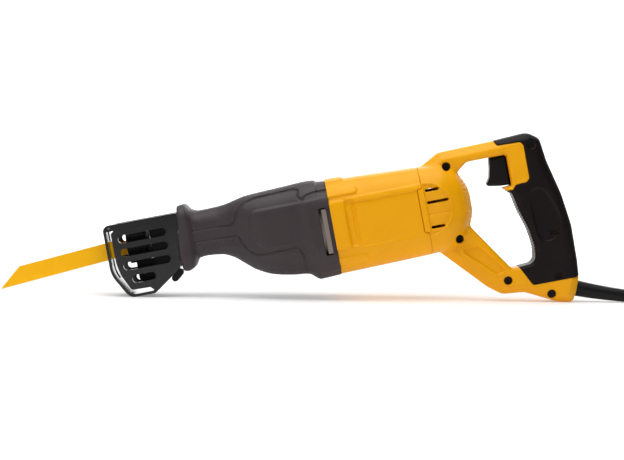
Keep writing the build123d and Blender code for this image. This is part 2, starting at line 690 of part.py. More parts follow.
CORD_ROUTE = [(308.015, 0.0, 6.061), (328.0, 0.0, 4.598), (354.0, -12.0, 4.0)]


def route_radii(route):
    """The largest arc that both neighbouring runs allow at each inner point of a route."""
    radii = []
    for before, corner, after in zip(route, route[1:], route[2:]):
        arriving = Vector(*corner) - Vector(*before)
        leaving = Vector(*after) - Vector(*corner)
        half_turn = math.radians(arriving.get_angle(leaving)) / 2
        radii.append(0.45 * min(arriving.length, leaving.length) / math.tan(half_turn))
    return radii


def make_cord_tube():
    radii = route_radii(CORD_ROUTE)
    path = FilletPolyline(*CORD_ROUTE, radius=radii)
    tube = sweep(Plane(path @ 0, z_dir=path % 0) * Circle(CORD_R), path)
    print("cord arcs", [round(r) for r in radii], "length", round(path.length, 1))
    print("tube volume", round(tube.volume), "section x length", round(math.pi * CORD_R**2 * path.length))
    return tube


def ring_on_floor(r_in, r_out, z0, z1):
    """A flat ring round the coil's centre."""
    face = Circle(r_out) - Circle(r_in)
    return extrude(Plane(origin=(*COIL_CENTRE, z0)) * face, z1 - z0)


def coil_angle(solid):
    """Turns a piece drawn in the coil's own frame to the tie's place on the coil."""
    return Pos(*COIL_CENTRE, 0) * Rot(0, 0, TIE_ANGLE) * solid


def make_cord_coil():
    """The space that the wound cord fills: three layers, and one turn on top that ends at the plug."""
    coil = ring_on_floor(*COIL_R, 0, COIL_HEIGHT)
    coil += ring_on_floor(TOP_TURN_R - 12, TOP_TURN_R + CORD_R, COIL_HEIGHT, COIL_HEIGHT + 2 * CORD_R)
    band = coil_angle(block(20, 70, -6.1, 6.1, -1, 40))
    coil = coil - band + (coil & band & coil_angle(block(32.2, 63.8, -10, 10, 1, 31.8)))
    (start_x, start_y), (end_x, end_y) = [point[:2] for point in CORD_ROUTE[-2:]]
    heading = math.degrees(math.atan2(end_y - start_y, end_x - start_x))
    side = CORD_R + STILL_FIT
    channel = block(-30, 0, -side - 3, side, -1, 2 * side)
    return coil - Pos(end_x, end_y, 0) * Rot(0, 0, heading) * channel


def make_cord_tie():
    """Strap round the coil."""
    return coil_angle(block(31, 65, -6, 6, 0, 33) - block(32.2, 63.8, -10, 10, 1, 31.8))


def make_plug():
    """Flat two-pin plug: tapered sleeve, waisted body."""
    x, y = COIL_CENTRE[0], COIL_CENTRE[1] - TOP_TURN_R
    shape = [(0, 10.5, 10.5, 5.2), (20, 13.5, 13, 6.2), (26, 22, 15, 6.5), (36, 35, 18, 7), (58, 35.5, 18, 7)]
    faces = []
    for distance, width, thickness, corner in shape:
        place = Plane(origin=(x + distance, y, PLUG_AXIS_Z), x_dir=(0, 1, 0), z_dir=(1, 0, 0))
        faces.append(place * RectangleRounded(width, thickness, corner))
    return loft(faces, ruled=True)


def make_plug_pins():
    x, y = COIL_CENTRE[0] + 58, COIL_CENTRE[1] - TOP_TURN_R
    pins = []
    for side in (-9.5, 9.5):
        pin = rod(2.4, x, x + 19, PLUG_AXIS_Z, y + side)
        pins.append(chamfer(pin.edges().sort_by(Axis.X)[-1], 0.8).solids()[0])
    return Compound(pins)


parts = {}


def build_saw():
    """Every piece, in the saw's own frame."""
    half = SHOE_WIDTH / 2
    parts["blade"] = make_blade()
    parts["spindle"] = make_spindle()
    parts["spindle_yoke"] = make_yoke()
    parts["yoke_pin"] = cross_rod(1.5, -10.8, -8.1, -62, SPINDLE_Z)
    parts["clamp_core"] = make_clamp_core()
    parts["clamp_sleeve"] = make_clamp_sleeve()
    parts["clamp_ring"] = pipe(SPINDLE_R + STILL_FIT, 13.5, -180, -177.6, SPINDLE_Z)
    parts["clamp_spring"] = Pos(-176.9, 0, SPINDLE_Z) * Rot(0, 90, 0) * coil_spring(9.6, 0.6, 7, 4)
    parts["locking_pin"] = make_lock_pin()
    parts["shoe_strap"] = make_shoe_strap()
    parts["shoe_guard_left"] = make_guard(half - GUARD_THICKNESS, half)
    parts["shoe_guard_right"] = make_guard(-half, -half + GUARD_THICKNESS)
    parts["shoe_bracket"] = make_bracket()
    parts["stop_bumper"] = make_bumper()
    parts["bracket_screws"] = make_bracket_screws()
    parts["shoe_pivot_pin"] = cross_rod(PIVOT_R, -half + 0.2, half - 0.2, *PIVOT)
    parts["nose_seal"] = pipe(SPINDLE_R + BODY_GAP, NOSE_R - 0.1, -148.5, -145.2, SPINDLE_Z)
    parts["spindle_bushings"] = make_spindle_bushings()
    parts["gear_boot"] = make_boot()
    parts["gear_case"] = make_gear_case()
    parts["bearing_plate"] = make_bearing_plate()
    parts["wear_plates"] = mirrored(block(-83, -21, 22 + BODY_GAP, 24.4, 10, 26))
    parts["crank_bearings"] = make_crank_bearings()
    parts["crank_gear"] = make_crank_gear()
    parts["crank_pin"] = make_crank_pin()
    parts["crank_roller"] = make_crank_roller()
    parts["crank_weight"] = make_crank_weight()
    parts["motor_bearings"] = make_motor_bearings()
    parts["armature_shaft"] = make_armature_shaft()
    parts["pinion"] = make_pinion()
    parts["armature_stack"] = make_armature_stack()
    parts["armature_windings"] = make_armature_windings()
    parts["commutator"] = make_commutator()
    parts["cooling_fan"] = make_fan()
    parts["fan_baffle"] = make_fan_baffle()
    parts["field_stack"] = make_field_stack()
    parts["field_coils"] = make_field_coils()
    parts["brushes"] = make_brushes()
    parts["brush_holders"] = make_brush_holders()
    parts["brush_springs"] = make_brush_springs()
    parts["motor_housing"] = make_motor_housing()
    parts["housing_screws"] = make_housing_screws()
    yellow, grip = add_handle_details(*make_handle())
    parts["handle_left"], parts["handle_right"] = halves(yellow)
    parts["grip_left"], parts["grip_right"] = halves(grip)
    parts["handle_screws"] = make_handle_screws()
    parts["trigger"] = make_trigger()
    parts["switch_plunger"] = make_plunger()
    parts["trigger_spring"] = make_trigger_spring()
    parts["switch"] = make_switch()
    parts["inner_leads"] = make_leads()
    parts["strain_relief"] = make_relief()
    parts["cord_inside"] = make_cord_inside()
    parts["cord_clamp"] = make_cord_clamp()


# ---------------------------------------------------------------- standing on the floor

def arc_centre(corners, index):
    """Centre and radius of the arc that rounds one corner of an outline."""
    bx, bz, _ = corners[index - 1]
    cx, cz, radius = corners[index]
    ax, az, _ = corners[index + 1]
    back = Vector(bx - cx, bz - cz).normalized()
    ahead = Vector(ax - cx, az - cz).normalized()
    half_angle = math.radians(back.get_angle(ahead)) / 2
    middle = (back + ahead).normalized()
    centre = Vector(cx, cz) + middle * (radius / math.sin(half_angle))
    return centre.X, centre.Y, radius


TOE = 12


def resting_tilt():
    """Nose-down angle at which the heel of the shoe and the toe of the foot touch one floor."""
    heel_x, heel_z, heel_r = arc_centre(STRAP, HEEL)
    toe_x, toe_z, toe_r = arc_centre(PROFILE, TOE)
    run = toe_x - heel_x
    drop = heel_z - toe_z
    span = math.hypot(run, drop)
    tilt = math.atan2(drop, run) + math.asin((toe_r - heel_r) / span)
    floor = heel_x * math.sin(tilt) + heel_z * math.cos(tilt) - heel_r
    return math.degrees(tilt), floor


build_saw()
tilt, floor = resting_tilt()
leaning = Rot(0, -tilt, 0)
boxes = [(leaning * solid).bounding_box() for solid in parts.values()]
x_low = min(box.min.X for box in boxes)
x_high = max(box.max.X for box in boxes)
standing = Pos(-(x_low + x_high) / 2, 0, -floor) * leaning
print("tilt", round(tilt, 4), "origin lands at", round(-(x_low + x_high) / 2, 3), round(-floor, 3))
print("clear of the floor by", round(min(box.min.Z for box in boxes) - floor, 3))
print("strain relief's tip", (standing * relief_places()[-1].location).position)

os.makedirs("parts", exist_ok=True)
for name, solid in parts.items():
    export_step(standing * solid, f"parts/{name}.step")

export_step(make_cord_tube(), "parts/cord_tube.step")
export_step(make_cord_coil(), "parts/cord_coil.step")
export_step(make_cord_tie(), "parts/cord_tie.step")
export_step(make_plug(), "parts/plug_body.step")
export_step(make_plug_pins(), "parts/plug_pins.step")
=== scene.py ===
"""A corded reciprocating saw on a pale studio floor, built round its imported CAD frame."""
import json
import math

import bpy
import numpy as np
from mathutils import Matrix, Vector


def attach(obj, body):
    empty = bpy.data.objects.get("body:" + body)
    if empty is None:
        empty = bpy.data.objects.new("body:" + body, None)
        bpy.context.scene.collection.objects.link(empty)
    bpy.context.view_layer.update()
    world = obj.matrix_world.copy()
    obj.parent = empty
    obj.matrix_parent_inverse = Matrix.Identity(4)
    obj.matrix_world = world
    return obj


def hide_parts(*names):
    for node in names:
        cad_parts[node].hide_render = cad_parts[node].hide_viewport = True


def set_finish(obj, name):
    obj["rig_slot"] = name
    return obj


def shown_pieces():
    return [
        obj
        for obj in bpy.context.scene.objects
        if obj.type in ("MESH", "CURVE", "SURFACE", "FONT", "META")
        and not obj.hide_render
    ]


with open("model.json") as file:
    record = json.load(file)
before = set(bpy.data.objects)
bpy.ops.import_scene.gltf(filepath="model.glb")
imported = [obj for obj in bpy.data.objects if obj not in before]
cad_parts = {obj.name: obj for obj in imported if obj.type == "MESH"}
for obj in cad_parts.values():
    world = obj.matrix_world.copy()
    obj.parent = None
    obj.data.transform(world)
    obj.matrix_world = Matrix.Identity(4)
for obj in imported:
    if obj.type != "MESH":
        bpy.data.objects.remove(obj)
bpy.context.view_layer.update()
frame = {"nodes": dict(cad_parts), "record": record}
MM = 0.001



def add_object(name, data):
    """A new object in the scene."""
    made = bpy.data.objects.new(name, data)
    bpy.context.scene.collection.objects.link(made)
    return made


# ------------------------------------------------------------------ camera

IMAGE_WIDTH = 624
FOCAL_PIXELS = 1900
SENSOR_MM = 36.0
CAMERA_DISTANCE = 1.862
CAMERA_TARGET = Vector((-0.0043, 0.0, 0.0665))
CAMERA_ELEVATION = math.radians(2.5)
CAMERA_ROLL = math.radians(0.815)


def make_camera():
    data = bpy.data.cameras.new("camera")
    data.sensor_width = SENSOR_MM
    data.lens = FOCAL_PIXELS * SENSOR_MM / IMAGE_WIDTH
    data.clip_start = 0.05
    camera = add_object("camera", data)
    back = Vector((0, -math.cos(CAMERA_ELEVATION), math.sin(CAMERA_ELEVATION)))
    level = (-back).to_track_quat("-Z", "Y").to_matrix().to_4x4()
    camera.matrix_world = (Matrix.Translation(CAMERA_TARGET + back * CAMERA_DISTANCE) @ level
                           @ Matrix.Rotation(CAMERA_ROLL, 4, "Z"))
    bpy.context.scene.camera = camera


make_camera()

# ------------------------------------------------------------------ cord and coil
# Metres, in the row frame. The coil's radii and heights are of the cord's centreline.

CORD_DIAMETER = 0.008
CORD_ROUTE = [(0.308015, 0.0, 0.006061), (0.328, 0.0, 0.004598)]
COIL_CENTRE = (0.384, 0.040)
COLUMNS = (0.060, 0.052, 0.044, 0.036)
LAYERS = 3
ENTRY_ANGLE = math.radians(-120)
TURN_POINTS = 24
SHIFT_POINTS = 5
TOP_START_R = 0.044
TOP_TURN_R = 0.052
TOP_POINTS = 26
PLUG_AXIS_Z = 0.041
TAIL_REACH = (-0.002, 0.008)


def ease(t):
    return t * t * (3 - 2 * t)


def coil_places():
    """(radius, height) of each control point round the coil. A turn that climbs does so before it shifts."""
    turns = []
    for layer in range(LAYERS):
        columns = COLUMNS if layer % 2 == 0 else COLUMNS[::-1]
        turns += [(radius, CORD_DIAMETER * (layer + 0.5)) for radius in columns]
    top = CORD_DIAMETER * (LAYERS + 0.5)
    places = []
    for (radius, height), (next_radius, next_height) in zip(turns, turns[1:] + [(TOP_START_R, top)]):
        for i in range(TURN_POINTS):
            shift = ease(max(0.0, (i - TURN_POINTS + SHIFT_POINTS) / SHIFT_POINTS))
            climb = ease(min(1.0, max(0.0, (i - TURN_POINTS + 2 * SHIFT_POINTS) / SHIFT_POINTS)))
            places.append((radius + (next_radius - radius) * shift,
                           height + (next_height - height) * climb))
    for i in range(TOP_POINTS):
        across = ease(min(1.0, i / SHIFT_POINTS))
        lift = ease(max(0.0, (i - TOP_POINTS + SHIFT_POINTS) / SHIFT_POINTS))
        places.append((TOP_START_R + (TOP_TURN_R - TOP_START_R) * across,
                       top + (PLUG_AXIS_Z - top) * lift))
    return places


def coil_points():
    """The coil's turns. A quadratic spline runs inside its control points, so they stand out a little."""
    stand_out = 4 / (3 + math.cos(2 * math.pi / TURN_POINTS))
    points = []
    for i, (radius, height) in enumerate(coil_places()):
        angle = 2 * math.pi * i / TURN_POINTS + ENTRY_ANGLE
        points.append((COIL_CENTRE[0] + radius * stand_out * math.cos(angle),
                       COIL_CENTRE[1] + radius * stand_out * math.sin(angle), height))
    return points


def make_cord():
    """One open spline from strain relief to plug, through the coil. Its points' radii set its thickness."""
    end_y = COIL_CENTRE[1] - TOP_TURN_R
    tail = [(COIL_CENTRE[0] + reach, end_y, PLUG_AXIS_Z) for reach in TAIL_REACH]
    points = CORD_ROUTE + coil_points() + tail
    curve = bpy.data.curves.new("mains_cord", "CURVE")
    curve.dimensions = "3D"
    curve.bevel_depth = 1.0
    curve.bevel_resolution = 5
    curve.use_fill_caps = True
    curve.resolution_u = 6
    spline = curve.splines.new("NURBS")
    spline.points.add(len(points) - 1)
    for control, point in zip(spline.points, points):
        control.co = (*point, 1.0)
        control.radius = CORD_DIAMETER / 2
    spline.order_u = 3
    spline.use_endpoint_u = True
    cord = add_object("mains_cord", curve)
    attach(cord, "frame")
    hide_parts("cord_tube", "cord_coil")
    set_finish(cord, "cord_rubber")
    return cord


cord = make_cord()

# ------------------------------------------------------------------ solid shapes as distance fields
# Shapes are drawn in the saw's own frame in millimetres: u rearward along the motor axis, y across, w up.
# A field is negative inside. Its zero level becomes the mesh.

TILT = math.radians(11.415)
AXIS_ORIGIN = (16.278, 69.254)
CELL = 0.8
SLOPE_STEP = 0.05
LEAST_SLOPE_SQUARED = 0.25
FURTHEST_MOVE = 0.45


def saw_to_row(points):
    """Saw frame in millimetres to row frame in metres."""
    u, y, w = points.T
    x = AXIS_ORIGIN[0] + u * math.cos(TILT) - w * math.sin(TILT)
    z = AXIS_ORIGIN[1] + u * math.sin(TILT) + w * math.cos(TILT)
    return np.stack([x, y, z], 1) * MM


def row_to_row(points):
    """Row frame in millimetres to row frame in metres."""
    return points * MM


CUBE = [(i, j, k) for i in (0, 1) for j in (0, 1) for k in (0, 1)]
CUBE_EDGES = [(a, b) for a in range(8) for b in range(a + 1, 8)
              if sum(abs(p - q) for p, q in zip(CUBE[a], CUBE[b])) == 1]


def surface_net(field, low, high, cell):
    """Points and quads of a field's zero level: one point in each cell that the surface crosses."""
    axes = [np.arange(a - 1.5 * cell, b + 2.5 * cell, cell) for a, b in zip(low, high)]
    u, y, w = axes[0][:, None, None], axes[1][None, :, None], axes[2][None, None, :]
    values = np.broadcast_to(field(u, y, w), [len(a) for a in axes]).astype(np.float32)
    shape = tuple(n - 1 for n in values.shape)
    inside = values < 0
    count = np.zeros(shape, np.int8)
    for i, j, k in CUBE:
        count += inside[i:i + shape[0], j:j + shape[1], k:k + shape[2]]
    cells = np.argwhere((count > 0) & (count < 8))
    corner = np.stack([values[tuple((cells + offset).T)] for offset in CUBE], 1)
    total = np.zeros((len(cells), 3))
    hits = np.zeros(len(cells))
    for a, b in CUBE_EDGES:
        crossed = (corner[:, a] < 0) != (corner[:, b] < 0)
        with np.errstate(divide="ignore", invalid="ignore"):
            t = np.where(crossed, corner[:, a] / (corner[:, a] - corner[:, b]), 0.0)
        start, end = np.array(CUBE[a], float), np.array(CUBE[b], float)
        total += np.where(crossed[:, None], start + (end - start) * t[:, None], 0.0)
        hits += crossed
    points = (cells + total / hits[:, None]) * cell + np.array([a[0] for a in axes])
    index = np.full(shape, -1, np.int64)
    index[tuple(cells.T)] = np.arange(len(cells))
    quads = []
    for axis in range(3):
        one, two = (axis + 1) % 3, (axis + 2) % 3
        near = [slice(None)] * 3
        near[axis] = slice(0, -1)
        far = [slice(None)] * 3
        far[axis] = slice(1, None)
        change = inside[tuple(near)] != inside[tuple(far)]
        places = np.argwhere(change)
        places = places[(places[:, one] > 0) & (places[:, two] > 0)]
        places = places[(places[:, one] < shape[one]) & (places[:, two] < shape[two])]
        ring = []
        for back_one, back_two in ((1, 1), (0, 1), (0, 0), (1, 0)):
            at = places.copy()
            at[:, one] -= back_one
            at[:, two] -= back_two
            ring.append(index[tuple(at.T)])
        ring = np.stack(ring, 1)
        flip = ~inside[tuple(places.T)]
        ring[flip] = ring[flip][:, ::-1]
        quads.append(ring)
    return settle(field, points, cell), np.concatenate(quads)


def settle(field, points, cell):
    """Moves points onto the field's zero level along its slope, by less than half a cell."""
    start = points.copy()
    for _ in range(2):
        value = field(*points.T)
        slope = np.empty_like(points)
        for axis in range(3):
            ahead, behind = points.copy(), points.copy()
            ahead[:, axis] += SLOPE_STEP
            behind[:, axis] -= SLOPE_STEP
            slope[:, axis] = (field(*ahead.T) - field(*behind.T)) / (2 * SLOPE_STEP)
        size = np.maximum((slope ** 2).sum(1), LEAST_SLOPE_SQUARED)
        points = points - slope * (value / size)[:, None]
        shift = points - start
        length = np.maximum(np.sqrt((shift ** 2).sum(1)), 1e-9)
        points = start + shift * np.minimum(1.0, FURTHEST_MOVE * cell / length)[:, None]
    return points


def solid(name, field, low, high, place=saw_to_row, cell=CELL):
    """A closed smooth-shaded mesh object of a field."""
    points, quads = surface_net(field, low, high, cell)
    mesh = bpy.data.meshes.new(name)
    mesh.from_pydata(place(points).tolist(), [], quads.tolist())
    mesh.polygons.foreach_set("use_smooth", np.ones(len(quads), bool))
    mesh.update()
    return add_object(name, mesh)


def both(a, b, radius=0.0):
    """What is in both shapes; the new edge is rounded."""
    if radius == 0:
        return np.maximum(a, b)
    p, q = np.maximum(a + radius, 0), np.maximum(b + radius, 0)
    return np.minimum(np.maximum(a, b), -radius) + np.sqrt(p * p + q * q)


def either(a, b, radius=0.0):
    """What is in one shape or the other; the new corner is filled."""
    return -both(-a, -b, radius)


def cut(a, b, radius=0.0):
    """The first shape without the second."""
    return both(a, -b, radius)


def bevelled(a, b, size, radius=1.0):
    """What is in both shapes, with a flat 45 degree facet of that size along the new edge."""
    facet = (a + b + size) * math.sqrt(0.5)
    return both(both(a, facet, radius), both(b, facet, radius), 0)


def bar(u, y, w, low, high, radius=0.0):
    """A block between two corners, its edges rounded."""
    parts = [np.abs(v - (a + b) / 2) - (b - a) / 2 + radius for v, a, b in zip((u, y, w), low, high)]
    outside = np.sqrt(sum(np.maximum(p, 0) ** 2 for p in parts))
    return outside + np.minimum(np.maximum(np.maximum(parts[0], parts[1]), parts[2]), 0) - radius


def shaft(u, y, w, radius, u0, u1, at_y=0.0, at_w=0.0):
    """A round bar along u."""
    return np.maximum(np.hypot(y - at_y, w - at_w) - radius, np.maximum(u0 - u, u - u1))


def cross_shaft(u, y, w, radius, y0, y1, at_u, at_w):
    """A round bar across the saw."""
    return np.maximum(np.hypot(u - at_u, w - at_w) - radius, np.maximum(y0 - y, y - y1))


def even_curve(x, y, steps=16):
    """A smooth curve through points that never swings past them, as a dense table."""
    x, y = np.array(x, float), np.array(y, float)
    width = np.diff(x)
    rise = np.diff(y) / width
    slope = np.zeros(len(x))
    slope[0], slope[-1] = rise[0], rise[-1]
    for i in range(1, len(x) - 1):
        if rise[i - 1] * rise[i] > 0:
            slope[i] = 2 * rise[i - 1] * rise[i] / (rise[i - 1] + rise[i])
    t = np.linspace(0, 1, steps, endpoint=False)
    dense_x = (x[:-1, None] + width[:, None] * t).ravel()
    h00, h10 = 2 * t ** 3 - 3 * t ** 2 + 1, t ** 3 - 2 * t ** 2 + t
    h01, h11 = 3 * t ** 2 - 2 * t ** 3, t ** 3 - t ** 2
    dense_y = (y[:-1, None] * h00 + width[:, None] * slope[:-1, None] * h10
               + y[1:, None] * h01 + width[:, None] * slope[1:, None] * h11).ravel()
    return np.append(dense_x, x[-1]), np.append(dense_y, y[-1])


class Skin:
    """A body through rounded sections (u, w_low, w_high, half_width, corner)."""

    def __init__(self, stations):
        columns = list(zip(*stations))
        self.curves = [even_curve(columns[0], column) for column in columns[1:]]

    def __call__(self, u, y, w):
        low, high, half, corner = (np.interp(u, *curve) for curve in self.curves)
        a = np.abs(y) - half + corner
        b = np.abs(w - (low + high) / 2) - (high - low) / 2 + corner
        return (np.sqrt(np.maximum(a, 0) ** 2 + np.maximum(b, 0) ** 2)
                + np.minimum(np.maximum(a, b), 0) - corner)


def rounded_corners(corners, steps=7):
    """Points along a closed outline whose corners (u, w, radius) are rounded."""
    points = []
    for i, (cu, cw, radius) in enumerate(corners):
        here = np.array([cu, cw])
        back = np.array(corners[i - 1][:2]) - here
        ahead = np.array(corners[(i + 1) % len(corners)][:2]) - here
        back, ahead = back / np.linalg.norm(back), ahead / np.linalg.norm(ahead)
        half = math.acos(max(-1.0, min(1.0, float(back @ ahead)))) / 2
        if radius == 0 or half > math.pi / 2 - 0.01:
            points.append(here)
            continue
        run = radius / math.tan(half)
        middle = (back + ahead) / np.linalg.norm(back + ahead)
        centre = here + middle * radius / math.sin(half)
        start, end = here + back * run - centre, here + ahead * run - centre
        turn = math.atan2(start[0] * end[1] - start[1] * end[0], float(start @ end))
        for k in range(steps + 1):
            a = turn * k / steps
            points.append(centre + np.array([start[0] * math.cos(a) - start[1] * math.sin(a),
                                             start[0] * math.sin(a) + start[1] * math.cos(a)]))
    return np.array(points)


class Outline:
    """Distance to a side-view outline, kept on a fine grid and read between its points."""

    def __init__(self, corners, closed=True, margin=30.0, step=0.5):
        points = rounded_corners(corners) if closed else np.array([c[:2] for c in corners], float)
        self.low = points.min(0) - margin
        self.step = step
        size = np.ceil((points.max(0) + margin - self.low) / step).astype(int) + 1
        u = (self.low[0] + step * np.arange(size[0]))[:, None]
        w = (self.low[1] + step * np.arange(size[1]))[None, :]
        best = np.full((size[0], size[1]), 1e9)
        inside = np.zeros(best.shape, bool)
        ends = zip(points, np.roll(points, -1, 0)) if closed else zip(points[:-1], points[1:])
        for (au, aw), (bu, bw) in ends:
            du, dw = bu - au, bw - aw
            t = np.clip(((u - au) * du + (w - aw) * dw) / max(du * du + dw * dw, 1e-12), 0, 1)
            best = np.minimum(best, (u - au - t * du) ** 2 + (w - aw - t * dw) ** 2)
            if closed and aw != bw:
                inside ^= ((aw <= w) != (bw <= w)) & (u < au + (w - aw) * du / dw)
        self.grid = np.where(inside, -1, 1) * np.sqrt(best)

    def __call__(self, u, w):
        p = np.clip((u - self.low[0]) / self.step, 0, self.grid.shape[0] - 1.001)
        q = np.clip((w - self.low[1]) / self.step, 0, self.grid.shape[1] - 1.001)
        p, q = np.broadcast_arrays(p, q)
        i, j = p.astype(int), q.astype(int)
        p, q = p - i, q - j
        g = self.grid
        return ((g[i, j] * (1 - q) + g[i, j + 1] * q) * (1 - p)
                + (g[i + 1, j] * (1 - q) + g[i + 1, j + 1] * q) * p)


def ramp(distance, width):
    """1 well inside a shape, 0 outside it, with a smooth slope of that width at its edge."""
    return ease(np.clip(0.5 - distance / width, 0, 1))


def line_dent(distance, half_width):
    """1 on a line, falling smoothly to 0 at half_width."""
    return ease(np.clip(1 - distance / half_width, 0, 1))


def ribbing(across, pitch):
    """1 in each groove between ribs, 0 on each rib."""
    return 0.5 + 0.5 * np.cos(across * 2 * np.pi / pitch)


def patch(u, w, u0, u1, w0, w1, corner):
    """Distance to a rounded rectangle in the side view."""
    a = np.abs(u - (u0 + u1) / 2) - (u1 - u0) / 2 + corner
    b = np.abs(w - (w0 + w1) / 2) - (w1 - w0) / 2 + corner
    return np.hypot(np.maximum(a, 0), np.maximum(b, 0)) + np.minimum(np.maximum(a, b), 0) - corner


# ------------------------------------------------------------------ gear-case boot

BOOT = [(-152.0, -13.6, 46.0, 30.0, 14.0), (-145.5, -15.0, 49.4, 31.5, 14.0),
        (-139.5, -13.0, 49.4, 31.0, 14.0), (-133.0, -5.0, 43.0, 27.0, 14.0),
        (-126.0, -3.9, 40.6, 26.0, 14.0), (-110.0, -5.6, 41.0, 27.0, 15.0),
        (-100.0, -10.0, 42.0, 30.0, 17.0), (-90.0, -18.0, 44.2, 34.5, 20.0),
        (-80.0, -26.0, 46.3, 38.0, 22.0), (-65.0, -33.4, 47.3, 40.5, 24.0),
        (-45.0, -37.8, 48.2, 41.0, 25.0), (-31.0, -39.4, 49.0, 41.5, 25.0),
        (-20.0, -46.4, 49.5, 43.8, 28.0), (0.0, -45.6, 47.6, 44.0, 30.0)]
FLANGE_FRONT = [(-20, -150.0), (0, -150.6), (14, -149.8), (30, -146.8), (46, -146.0), (60, -145.6)]
SPINDLE_W = 18.0
HOUSING_SCREW_OFFSET = 30.05
CORNER_SPOTS = [(s * HOUSING_SCREW_OFFSET, t * HOUSING_SCREW_OFFSET) for s in (-1, 1) for t in (-1, 1)]
BOOT_RELIEF = 1.3
BOOT_GROOVE_HALF = 1.4
BOOT_WALL = 3.0

boot_skin = Skin(BOOT)
boot_liner = Skin(BOOT[3:])
upper_panel = Outline([(-134, 22.5), (-97, 22), (-93.5, 24.5), (-91, 30), (-87, 36), (-80, 40.5), (-70, 42.8),
                       (-32, 44.5), (-27.5, 43), (-28.5, 36), (-25, 33), (-20, 36.5), (-12, 38), (6, 38)],
                      closed=False)
lower_panel = Outline([(-134, 11), (-96, 11), (-91.5, 10), (-88.5, 3), (-84, -5), (-78, -10), (-70, -12),
                       (-40, -11), (-35, -13), (-32.5, -19), (-32, -40)], closed=False)
inner_panel = Outline([(-76.5, 31, 8), (-79, 12, 14), (-75, 0, 8), (-66, -8, 10), (-38, -7.5, 8),
                       (-27, -6, 10), (-20, -18, 12), (-19, -40, 2), (30, -40, 2), (30, 34, 2),
                       (-20, 31.5, 4)])


def boot_field(u, y, w):
    """The boot with its panel grooves, finger ribs, front flange, screw ways, nose bore and side vents."""
    d = boot_skin(u, y, w)
    side = ramp(24.0 - np.abs(y), 6.0)
    d = d + BOOT_RELIEF * side * line_dent(upper_panel(u, w), BOOT_GROOVE_HALF)
    d = d + BOOT_RELIEF * side * line_dent(lower_panel(u, w), BOOT_GROOVE_HALF)
    d = d - BOOT_RELIEF * side * ramp(inner_panel(u, w), 3.0)
    ribs = ribbing(u + 112, 3.4)
    knurled = ramp(patch(u, w, -127, -94, 2.5, 8.5, 2), 2.0)
    d = d + 0.8 * ribs * knurled * ramp(14.0 - np.abs(y), 4.0)
    under = ribbing(u + 60, 2.6)
    d = d + 0.45 * under * ramp(np.abs(u + 56) - 24, 4.0) * ramp(w + 18, 4.0)
    rise = ramp(-9.5 - u, 1.6) * ramp(36.0 - w, 4.0)
    d = d + 1.4 * rise
    d = both(d, np.interp(w, *zip(*FLANGE_FRONT)) - u, 2.2)
    d = both(d, u, 0.5)
    inner = np.maximum(boot_liner(u, y, w) + BOOT_WALL, np.maximum(-140 - u, u + 16))
    d = cut(d, inner)
    d = cut(d, shaft(u, y, w, 41.55, -21, 2))
    for at_y, at_w in CORNER_SPOTS:
        d = cut(d, shaft(u, y, w, 5.05, -13, 2, at_y, at_w))
    d = cut(d, shaft(u, y, w, 16.05, -160, -129, 0, SPINDLE_W))
    d = cut(d, bar(u, y, w, (-160, -11.1, -1.7), (-110, 11.1, 8)))
    vent = bar(u, np.abs(y), w, (-11, 20, -24), (-4.6, 70, 22), 1.2)
    gap = bar(u, np.abs(y), w, (-8, 42.5, -24), (-1, 70, 22), 0.4)
    return cut(d, np.minimum(vent, gap), 0.4)


boot = solid("rubber_boot", boot_field, (-152, -45, -48), (0, 45, 51))
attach(boot, "frame")
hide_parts("gear_boot")
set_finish(boot, "boot_rubber")

# ------------------------------------------------------------------ motor housing

HOUSING = [(0.0, -45.1, 46.4, 44.0, 30.0), (45.0, -43.9, 44.8, 43.4, 28.0), (90.0, -42.5, 43.0, 42.8, 26.0)]
SEAM_U = 90.0
# The handle's tongue over the housing: u from and to, w from and to
TAB = (86.0, 91.6, -19.0, 22.5)

housing_skin = Skin(HOUSING)


def housing_outside(u, y, w):
    """The housing's skin with its raised pads, sunk band, panel, ledge, screw bosses and lugs."""
    d = housing_skin(u, y, w)
    side = ramp(26.0 - np.abs(y), 6.0)
    pad = ramp(patch(u, w, -20, 14.5, -20.5, 26, 2), 1.6)
    dip = ramp(patch(u, w, 14.5, 24, -19, 24.5, 3), 3.5)
    panel = ramp(patch(u, w, 21, 110, -21, 22.5, 3), 1.6)
    d = d - side * (1.5 * pad - 2.2 * dip - 0.9 * panel)
    ledge = ramp(patch(u, w, 17, 110, 22.5, 27.5, 2.4), 2.0)
    d = d - 1.0 * side * ledge
    for w0, w1, lift in ((30.5, 38.0, 1.7), (-35.0, -28.5, 1.3)):
        d = d - lift * ramp(patch(u, w, -12, 28.5, w0, w1, 3.2), 2.0) * ramp(18 - np.abs(y), 4.0)
    lug = ramp(patch(u, np.abs(y), -12, 17.5, 6, 27, 6), 2.0) * ramp(30 - w, 6.0)
    return d - 1.7 * lug


def housing_field(u, y, w):
    """The hollow housing with its screw ways, field sleeve and the notch for the handle's tongue."""
    d = both(housing_outside(u, y, w), np.maximum(-u, u - SEAM_U), 0.5)
    for at_y, at_w in CORNER_SPOTS:
        d = cut(d, shaft(u, y, w, 2.05, -5, 92, at_y, at_w))
        d = cut(d, shaft(u, y, w, 3.65, 84, 92, at_y, at_w))
    d = either(d, shaft(u, y, w, 41.5, -4, 1))
    d = cut(d, shaft(u, y, w, 39.5, -10, 100))
    sleeve = np.maximum(shaft(u, y, w, 40, 26, 64), -shaft(u, y, w, 38.05, 0, 100))
    d = either(d, sleeve)
    notch = np.maximum(patch(u, w, TAB[0] - 0.4, 120, TAB[2] - 0.4, TAB[3] + 0.4, 0.8), 40.8 - np.abs(y))
    return cut(d, notch, 0.3)


